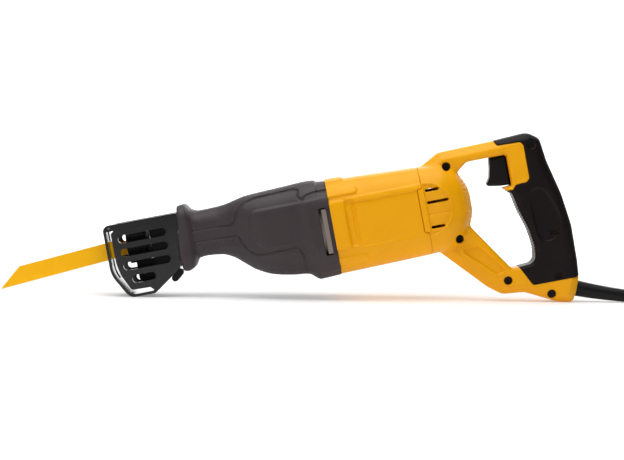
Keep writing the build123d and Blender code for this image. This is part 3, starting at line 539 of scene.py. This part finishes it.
housing = solid("motor_shell", housing_field, (-5, -47, -48), (90.5, 47, 50))
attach(housing, "frame")
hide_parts("motor_housing")
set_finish(housing, "yellow_plastic")

# ------------------------------------------------------------------ handle, grip and trigger

ARM_HALF = 17.0
PROFILE = [(92, 40, 7), (99, 45, 6), (114, 53.2, 14), (168, 54.6, 60), (202, 56.6, 12), (213, 49, 9),
           (216, 26, 60), (224.5, -8, 60), (228.8, -40, 60), (228.2, -75, 60), (226.8, -92, 30),
           (221.5, -106, 8), (216.6, -114.4, 5.4), (203, -111.6, 40), (172, -96.0, 20),
           (150, -94.0, 16), (137, -84, 20), (97, -41.5, 3), (92, -38, 7)]
OPENING = [(127, 30, 5), (139, 39.2, 8), (178, 39.6, 3), (178, 8.6, 1.5), (169, 8.2, 0.8),
           (173, 4.4, 1.5), (177.2, 1.2, 4), (179.6, -14, 40), (186.4, -36, 40), (188.9, -53, 25),
           (188.0, -69.4, 8), (164, -71, 6), (131, -22, 8), (135.5, -8, 20), (135.5, 10, 20)]
GRIP_REGION = [(166, 75, 0), (166, 60, 0), (171, 49.6, 2), (193.5, 48.8, 1.5), (196, 45, 2), (196, 12.5, 3),
               (192.6, 9.4, 2), (182, 9.0, 3), (178.5, 4.6, 1), (160, 4.6, 0), (168, -58, 0), (169.5, -68, 0),
               (181, -90.2, 3), (240, -90.2, 0), (240, 75, 0)]
DOME = [(90.0, -42.5, 43.0, 42.8, 26.0), (108.0, -41.0, 42.0, 41.0, 28.0),
        (122.0, -35.0, 37.0, 34.0, 26.0), (131.0, -24.0, 27.0, 24.0, 20.0), (136.0, -14.0, 17.0, 13.0, 12.0)]
# Each louvre: its w, where it ends along u, and how near the middle it starts across; one is only a groove
VENT_SLOTS = [(20.0, 106.0, 33), (8.2, 113.5, 33), (-3.8, 113.0, 41.6), (-15.8, 106.0, 33)]
VENT_DISC = (91.0, 2.0)
SCREW_SPOTS = [(118.5, 38.5), (118.5, -32.5), (158.0, -81.5), (197.5, -102.0),
               (204.0, 45.0), (211.0, -42.5), (207.5, -85.0)]
GRIP_SCREWS = SCREW_SPOTS[4:]
SCREW_HEAD_REACH = (-60, -9)
SPLIT_GAP = 0.04
GRIP_SKIN = 2.5
SHELL_WALL = 4.5

profile = Outline(PROFILE)
opening = Outline(OPENING)
grip_region = Outline(GRIP_REGION)
dome_skin = Skin(DOME)
pocket = Outline([(117, -43, 2.5), (136, -43.5, 2.5), (157.5, -72, 3), (149, -73.5, 2)])
grip_inset = Outline([(197, 6, 6), (209, -2, 8), (218, -24, 14), (219, -36, 10), (211, -48, 10),
                      (199, -62, 10), (194, -40, 14), (193, -14, 14)])


def arms(u, y, w, outer):
    """The closed D of the handle; outer rounds or bevels the edge along its outside."""
    slab = np.abs(y) - ARM_HALF
    return np.maximum(outer(profile(u, w), slab), both(-opening(u, w), slab, 4.5))


def rounded_arms(u, y, w):
    return arms(u, y, w, lambda a, b: both(a, b, 10.0))


def bevelled_arms(u, y, w):
    return arms(u, y, w, lambda a, b: bevelled(a, b, 7.5, 1.2))


def dome_outside(u, y, w):
    """The rounded rear of the motor cover with its louvred disc, the disc's rim, and ribs above and below."""
    d = dome_skin(u, y, w)
    from_disc = np.hypot(u - VENT_DISC[0], w - VENT_DISC[1])
    disc = np.maximum(from_disc - 24.5, 91.8 - u)
    side = ramp(24 - np.abs(y), 4.0)
    louvre = np.mod((20.0 - w) / 12.0, 1.0)
    d = d + side * ramp(disc, 1.2) * (0.5 + 1.5 * louvre)
    rim = np.abs(from_disc - 25.6) - 0.9
    d = d - 0.5 * side * ramp(np.maximum(rim, 92.5 - u), 1.2)
    ribs = ribbing(w, 4.2)
    d = d + 1.1 * ribs * ramp(130.0 - u, 1.6) * ramp(np.abs(w - 2) - 26, 6.0)
    d = d + 0.6 * line_dent(np.abs(u - 127.6), 1.2) * ramp(np.abs(w - 2) - 27, 4.0)
    return np.maximum(np.maximum(d, 90.0 - u), u - 136.0)


def yellow_handle(u, y, w):
    """Both halves of the yellow handle in one, hollow, with bosses, vent slots and screw recesses."""
    dome = dome_outside(u, y, w)
    shape = bevelled_arms(u, y, w)
    shape = shape + 2.0 * ramp(pocket(u, w), 1.6) - 0.5 * line_dent(np.abs(pocket(u, w) - 1.6), 1.5)
    shape = either(shape, dome, 2.5)
    shape = both(shape, 90.1 - u, 0.4)
    lip = bar(u, np.abs(y), w, (TAB[0], 41.0, TAB[2]), (TAB[1], 60, TAB[3]), 0.6)
    shape = either(shape, np.maximum(lip, housing_skin(np.minimum(u, 90.0), y, w) - 0.5))
    cover = both(grip_region(u, w), -(rounded_arms(u, y, w) + GRIP_SKIN))
    shape = cut(shape, cover)
    room = np.maximum(np.maximum(profile(u, w) + SHELL_WALL, SHELL_WALL - opening(u, w)),
                      np.abs(y) - ARM_HALF + SHELL_WALL)
    shape = cut(shape, room)
    shape = cut(shape, np.maximum(dome_skin(u, y, w) + 3.0, u - 131.0))
    shape = cut(shape, shaft(u, y, w, 38.5, 80, 100))
    for at_u, at_w in SCREW_SPOTS:
        shape = either(shape, cross_shaft(u, y, w, 5.6, -13.5, 13.5, at_u, at_w))
    seat = np.minimum(bar(u, y, w, (103, -39.3, -2), (110, 39.3, 2)),
                      bar(u, y, w, (103, -2, -39), (110, 2, 39.5)))
    seat = np.minimum(seat, shaft(u, y, w, 16, 103, 110))
    shape = either(shape, seat)
    shape = cut(shape, shaft(u, y, w, 12.6, 102, 110.5))
    for at_w, u_end, y_start in VENT_SLOTS:
        shape = cut(shape, bar(u, np.abs(y), w, (93, y_start, at_w - 1.3), (u_end, 60, at_w + 1.3), 0.8))
    for at_u, at_w in GRIP_SCREWS:
        shape = cut(shape, cross_shaft(u, y, w, 5.1, *SCREW_HEAD_REACH, at_u, at_w))
    return cut(shape, bar(u, y, w, (172, -9.6, 9.2), (195, 9.6, 39.3)))


def rubber_grip(u, y, w):
    """The overmoulded rubber round the rear of the handle, a little proud of the yellow shell."""
    whole = rounded_arms(u, y, w)
    side = ramp(12 - np.abs(y), 4.0)
    proud = whole - 0.25 + 1.2 * side * ramp(grip_inset(u, w), 2.4)
    ribs = ribbing(w, 2.6)
    inner_side = ramp(opening(u, w) - 5.0, 3.0) * ramp(np.abs(w + 32) - 28, 6.0)
    proud = proud + 0.8 * ribs * inner_side
    shape = both(proud, grip_region(u, w) + 0.12, 0.7)
    return cut(shape, whole + GRIP_SKIN)


def screw_holes(d, u, y, w):
    """A recess for each screw's head and a hole for its shank."""
    for at_u, at_w in SCREW_SPOTS:
        d = cut(d, cross_shaft(u, y, w, 4.25, *SCREW_HEAD_REACH, at_u, at_w), 0.5)
        d = cut(d, cross_shaft(u, y, w, 2.1, -12, 11, at_u, at_w))
    return d


RELIEF_START = (217.0, -99.5)
RELIEF_HEADING = math.radians(-23)
RELIEF_BORE_R = 8.05
COLLAR_BORE_R = 10.05
COLLAR_DEPTH = 2.05
CORD_BORE_R = 4.05
CORD_BORE_DEPTH = 13


def cord_hole(d, u, y, w):
    """The round way out for the strain relief and the pocket for its collar."""
    du, dw = u - RELIEF_START[0], w - RELIEF_START[1]
    along = du * math.cos(RELIEF_HEADING) + dw * math.sin(RELIEF_HEADING)
    up = -du * math.sin(RELIEF_HEADING) + dw * math.cos(RELIEF_HEADING)
    radius = np.hypot(up, y)
    d = cut(d, np.maximum(radius - RELIEF_BORE_R, np.maximum(-along, along - 20)))
    d = cut(d, np.maximum(radius - COLLAR_BORE_R, np.maximum(-along, along - COLLAR_DEPTH)))
    return cut(d, np.maximum(radius - CORD_BORE_R, np.maximum(-CORD_BORE_DEPTH - along, along)))


def left_handle(u, y, w):
    d = both(yellow_handle(u, y, w), SPLIT_GAP - y, 0.5)
    return cord_hole(screw_holes(d, u, y, w), u, y, w)


def right_handle(u, y, w):
    d = both(yellow_handle(u, y, w), y + SPLIT_GAP, 0.5)
    return cord_hole(screw_holes(d, u, y, w), u, y, w)


def left_grip(u, y, w):
    return both(rubber_grip(u, y, w), SPLIT_GAP - y, 0.5)


def right_grip(u, y, w):
    return screw_holes(both(rubber_grip(u, y, w), y + SPLIT_GAP, 0.5), u, y, w)


for name, field, u_low, y_low, y_high, node, slot in (
        ("handle_half_left", left_handle, 85, 0, 45, "handle_left", "yellow_plastic"),
        ("handle_half_right", right_handle, 85, -45, 0, "handle_right", "yellow_plastic"),
        ("rubber_grip_left", left_grip, 158, 0, 18, "grip_left", "grip_rubber"),
        ("rubber_grip_right", right_grip, 158, -18, 0, "grip_right", "grip_rubber")):
    piece = solid(name, field, (u_low, y_low, -116), (230, y_high, 58))
    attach(piece, "frame")
    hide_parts(node)
    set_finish(piece, slot)

trigger_side = Outline([(161.5, 39.1, 2), (160.5, 29, 12), (158.6, 20, 6), (154.8, 14.4, 1.5), (156, 12, 2.2),
                        (167, 10.2, 4), (178.2, 9.6, 0.6), (178.2, 39.1, 0.6)])


def trigger_field(u, y, w):
    """The finger piece and the stem behind it."""
    d = both(trigger_side(u, w), np.abs(y) - 9, 2.6)
    return either(d, bar(u, y, w, (176, -6, 14), (187.5, 6, 34), 0.5))


trigger = solid("finger_trigger", trigger_field, (154, -10, 9), (188, 10, 39), cell=0.6)
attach(trigger, "trigger")
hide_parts("trigger")
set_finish(trigger, "trigger_plastic")

# ------------------------------------------------------------------ plug and tie
# Millimetres, in the row frame.

PLUG_Y = -12.0
PLUG_Z = 41.0
PLUG_LENGTH = 58
# Sections along the plug: distance, half its width, half its height, corner
PLUG = [(0, 5.2, 5.2, 5.0), (19, 6.6, 6.4, 6.0), (22, 8.5, 7.0, 6.3), (28, 13.5, 8.0, 6.8),
        (38, 17.6, 9.0, 7.4), (50, 17.7, 9.0, 7.4), (PLUG_LENGTH, 17.2, 8.9, 7.4)]
plug_skin = Skin([(u, -tall, tall, half, corner) for u, half, tall, corner in PLUG])


def plug_field(x, y, z):
    """A flat moulded plug: ringed sleeve, waisted body with finger dips."""
    u, v, w = x - COIL_CENTRE[0] / MM, y - PLUG_Y, z - PLUG_Z
    d = both(plug_skin(u, v, w), np.maximum(-u, u - PLUG_LENGTH), 1.6)
    rings = ribbing(u, 3.2)
    d = d + 0.7 * rings * ramp(np.abs(u - 9.5) - 7, 1.5)
    dip = np.hypot((u - 42) / 11, v / 11) - 1
    return d + 1.0 * ramp(dip * 8, 3.0)


plug = solid("mains_plug", plug_field, (384, -31, 31), (442, 7, 51), place=row_to_row, cell=0.6)
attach(plug, "frame")
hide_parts("plug_body")
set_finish(plug, "cord_rubber")

TIE_ANGLE = math.radians(40)
TIE_HALF_WIDTH = 6.0
# Radius and height, round the coil's centre, of the cords that the strap touches
TIE_PATH_CENTRES = [(36, 5), (60, 5), (60, 20), (52, 28), (36, 20)]
TIE_INNER_R = 4.1
TIE_OUTER_R = 5.0
TIE_STEPS = 72


def make_tie():
    """A strap pulled tight round the coil's outermost cords, like a string round discs."""
    points, faces = [], []
    centre_x, centre_y = COIL_CENTRE[0] / MM, COIL_CENTRE[1] / MM
    for i in range(TIE_STEPS):
        turn = 2 * math.pi * i / TIE_STEPS
        out_r, out_z = math.cos(turn), math.sin(turn)
        disc_r, disc_z = max(TIE_PATH_CENTRES, key=lambda c: c[0] * out_r + c[1] * out_z)
        for reach, side in ((TIE_INNER_R, -1), (TIE_OUTER_R, -1), (TIE_OUTER_R, 1), (TIE_INNER_R, 1)):
            radius, across = disc_r + reach * out_r, side * TIE_HALF_WIDTH
            points.append(((centre_x + radius * math.cos(TIE_ANGLE) - across * math.sin(TIE_ANGLE)) * MM,
                           (centre_y + radius * math.sin(TIE_ANGLE) + across * math.cos(TIE_ANGLE)) * MM,
                           (disc_z + reach * out_z) * MM))
        here, after = 4 * i, 4 * ((i + 1) % TIE_STEPS)
        faces += [(here + k, here + (k + 1) % 4, after + (k + 1) % 4, after + k) for k in range(4)]
    mesh = bpy.data.meshes.new("coil_tie")
    mesh.from_pydata(points, [], faces)
    mesh.update()
    return add_object("coil_tie", mesh)


tie = make_tie()
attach(tie, "frame")
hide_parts("cord_tie")
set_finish(tie, "tie_plastic")

# ------------------------------------------------------------------ materials


def noise(tree, scale, detail=2.0, roughness=0.5):
    """Noise in the object's own coordinates."""
    place = tree.nodes.new("ShaderNodeTexCoord")
    texture = tree.nodes.new("ShaderNodeTexNoise")
    texture.inputs["Scale"].default_value = scale
    texture.inputs["Detail"].default_value = detail
    texture.inputs["Roughness"].default_value = roughness
    tree.links.new(place.outputs["Object"], texture.inputs["Vector"])
    return texture


def span(tree, source, low, high, low_out, high_out):
    """Maps a value from one range to another."""
    node = tree.nodes.new("ShaderNodeMapRange")
    for name, value in (("From Min", low), ("From Max", high), ("To Min", low_out), ("To Max", high_out)):
        node.inputs[name].default_value = value
    tree.links.new(source, node.inputs["Value"])
    return node.outputs["Result"]


def blend_colours(tree, factor, one, two):
    """Mixes two colours by a factor."""
    node = tree.nodes.new("ShaderNodeMix")
    node.data_type = "RGBA"
    tree.links.new(factor, node.inputs[0])
    for socket, value in ((node.inputs[6], one), (node.inputs[7], two)):
        if isinstance(value, tuple):
            socket.default_value = (*value, 1.0)
        else:
            tree.links.new(value, socket)
    return node.outputs[2]


def finish_material(name, colour, dark, roughness, metallic=0.0, grain=2500.0, grain_depth=0.00004,
                    patch_scale=35.0, coat=0.0, sheen=0.0, specular=0.5):
    """A procedural finish: fine grain in the surface, slow drift in colour and gloss."""
    material = bpy.data.materials.new(name)
    material.use_nodes = True
    tree = material.node_tree
    shader = tree.nodes["Principled BSDF"]
    drift = noise(tree, patch_scale, 3.0)
    fine = noise(tree, grain, 2.0, 0.6)
    factor = span(tree, drift.outputs["Fac"], 0.3, 0.7, 0.0, 1.0)
    tree.links.new(blend_colours(tree, factor, dark, colour), shader.inputs["Base Color"])
    gloss = span(tree, fine.outputs["Fac"], 0.3, 0.7, roughness - 0.04, roughness + 0.05)
    tree.links.new(gloss, shader.inputs["Roughness"])
    bump = tree.nodes.new("ShaderNodeBump")
    bump.inputs["Strength"].default_value = 0.6
    bump.inputs["Distance"].default_value = grain_depth
    tree.links.new(fine.outputs["Fac"], bump.inputs["Height"])
    tree.links.new(bump.outputs["Normal"], shader.inputs["Normal"])
    shader.inputs["Metallic"].default_value = metallic
    shader.inputs["Coat Weight"].default_value = coat
    shader.inputs["Coat Roughness"].default_value = 0.12
    shader.inputs["Sheen Weight"].default_value = sheen
    shader.inputs["Specular IOR Level"].default_value = specular
    return material


FINISHES = {
    "yellow_plastic": dict(colour=(0.91, 0.41, 0.0), dark=(0.87, 0.38, 0.0), roughness=0.38, grain=1800.0,
                           grain_depth=0.00005, specular=0.2),
    "boot_rubber": dict(colour=(0.040, 0.028, 0.031), dark=(0.032, 0.022, 0.025), roughness=0.52,
                        grain=1500.0, grain_depth=0.00010, specular=0.4),
    "grip_rubber": dict(colour=(0.008, 0.0045, 0.005), dark=(0.005, 0.003, 0.0035), roughness=0.42,
                        grain=1500.0, grain_depth=0.00008, specular=0.15),
    "bumper_rubber": dict(colour=(0.010, 0.009, 0.009), dark=(0.006, 0.0055, 0.0055), roughness=0.55,
                          specular=0.3),
    "shoe_black": dict(colour=(0.004, 0.004, 0.0045), dark=(0.003, 0.003, 0.0035), roughness=0.16,
                       coat=0.25, specular=0.3, grain=900.0, grain_depth=0.00001),
    "dark_steel": dict(colour=(0.018, 0.017, 0.018), dark=(0.010, 0.010, 0.010), roughness=0.5, specular=0.2),
    "clamp_black": dict(colour=(0.004, 0.004, 0.004), dark=(0.0025, 0.0025, 0.0025), roughness=0.45,
                        specular=0.1),
    "ground_steel": dict(colour=(0.62, 0.62, 0.63), dark=(0.5, 0.5, 0.51), roughness=0.25, metallic=1.0),
    "machined_steel": dict(colour=(0.45, 0.45, 0.46), dark=(0.36, 0.36, 0.37), roughness=0.35, metallic=1.0),
    "spring_steel": dict(colour=(0.35, 0.35, 0.36), dark=(0.26, 0.26, 0.27), roughness=0.3, metallic=1.0),
    "cast_aluminium": dict(colour=(0.30, 0.24, 0.215), dark=(0.25, 0.20, 0.18), roughness=0.5, metallic=0.55,
                           grain=900.0, grain_depth=0.0002),
    "bronze": dict(colour=(0.55, 0.38, 0.18), dark=(0.42, 0.28, 0.13), roughness=0.4, metallic=1.0),
    "copper": dict(colour=(0.62, 0.30, 0.16), dark=(0.48, 0.2, 0.1), roughness=0.35, metallic=1.0),
    "laminations": dict(colour=(0.28, 0.28, 0.30), dark=(0.2, 0.2, 0.22), roughness=0.45, metallic=1.0),
    "inner_plastic": dict(colour=(0.03, 0.03, 0.03), dark=(0.02, 0.02, 0.02), roughness=0.45),
    "carbon": dict(colour=(0.02, 0.02, 0.02), dark=(0.012, 0.012, 0.012), roughness=0.7),
    "trigger_plastic": dict(colour=(0.006, 0.004, 0.004), dark=(0.004, 0.003, 0.003), roughness=0.36,
                            specular=0.2),
    "lead_sheath": dict(colour=(0.05, 0.09, 0.25), dark=(0.04, 0.07, 0.2), roughness=0.5),
    "cord_rubber": dict(colour=(0.006, 0.0055, 0.0055), dark=(0.004, 0.0035, 0.0035), roughness=0.45,
                        grain_depth=0.00008, specular=0.2),
    "tie_plastic": dict(colour=(0.03, 0.03, 0.032), dark=(0.016, 0.016, 0.018), roughness=0.75, grain=3500.0,
                        grain_depth=0.0003, sheen=0.3),
    "pin_metal": dict(colour=(0.75, 0.72, 0.66), dark=(0.62, 0.59, 0.54), roughness=0.2, metallic=1.0),
    "blade_paint": dict(colour=(1.0, 0.50, 0.0), dark=(0.96, 0.47, 0.0), roughness=0.36, specular=0.2),
}
materials = {slot: finish_material(slot + "_finish", **values) for slot, values in FINISHES.items()}

node_slots = {part["node"]: part["material_slot"] for part in frame["record"]["subparts"]}
for name, node in frame["nodes"].items():
    node.data.materials.clear()
    node.data.materials.append(materials[node_slots[name]])
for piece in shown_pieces():
    if "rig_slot" in piece:
        piece.data.materials.clear()
        piece.data.materials.append(materials[piece["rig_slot"]])

# ------------------------------------------------------------------ studio


BEND_STEPS = 12


def stage_sheet():
    """Floor that curves up into a backdrop far behind the saw."""
    front, back, top, bend, half = -4.0, 3.0, 4.0, 1.2, 5.0
    rows = [(front, 0.0), (back - bend, 0.0)]
    for i in range(1, BEND_STEPS + 1):
        a = math.pi / 2 * i / BEND_STEPS
        rows.append((back - bend + bend * math.sin(a), bend - bend * math.cos(a)))
    rows.append((back, top))
    points = [(side * half, y, z) for y, z in rows for side in (-1, 1)]
    faces = [(2 * i, 2 * i + 1, 2 * i + 3, 2 * i + 2) for i in range(len(rows) - 1)]
    mesh = bpy.data.meshes.new("studio_floor")
    mesh.from_pydata(points, [], faces)
    mesh.polygons.foreach_set("use_smooth", [True] * len(faces))
    floor = add_object("studio_floor", mesh)
    material = bpy.data.materials.new("studio_paper")
    material.use_nodes = True
    shader = material.node_tree.nodes["Principled BSDF"]
    shader.inputs["Base Color"].default_value = (0.76, 0.76, 0.76, 1)
    shader.inputs["Roughness"].default_value = 0.9
    shader.inputs["Specular IOR Level"].default_value = 0.1
    shader.inputs["Emission Color"].default_value = (1, 1, 1, 1)
    shader.inputs["Emission Strength"].default_value = 0.25
    mesh.materials.append(material)


def area_light(name, place, target, size, power, height=None):
    """A softbox facing a target. It is square unless it has a height."""
    data = bpy.data.lights.new(name, "AREA")
    data.energy = power
    data.shape = "RECTANGLE"
    data.size = size
    data.size_y = height or size
    light = add_object(name, data)
    light.location = place
    light.rotation_euler = (Vector(target) - Vector(place)).to_track_quat("-Z", "Y").to_euler()


stage_sheet()
area_light("top_softbox", (-0.1, -0.35, 1.7), (0, 0, 0), 2.0, 38)
area_light("front_softbox", (-1.3, -1.7, 0.9), (0, 0, 0.08), 1.0, 5)
area_light("rear_softbox", (0.6, 1.6, 1.2), (0, 0, 0.05), 1.4, 8)
area_light("backdrop_light", (0.0, 1.0, 1.5), (0, 2.9, 0.5), 2.4, 60, 0.8)
world = bpy.data.worlds.new("studio_world")
bpy.context.scene.world = world
world.use_nodes = True
world.node_tree.nodes["Background"].inputs["Color"].default_value = (1, 1, 1, 1)
world.node_tree.nodes["Background"].inputs["Strength"].default_value = 0.12
bpy.context.scene.view_settings.view_transform = "Standard"
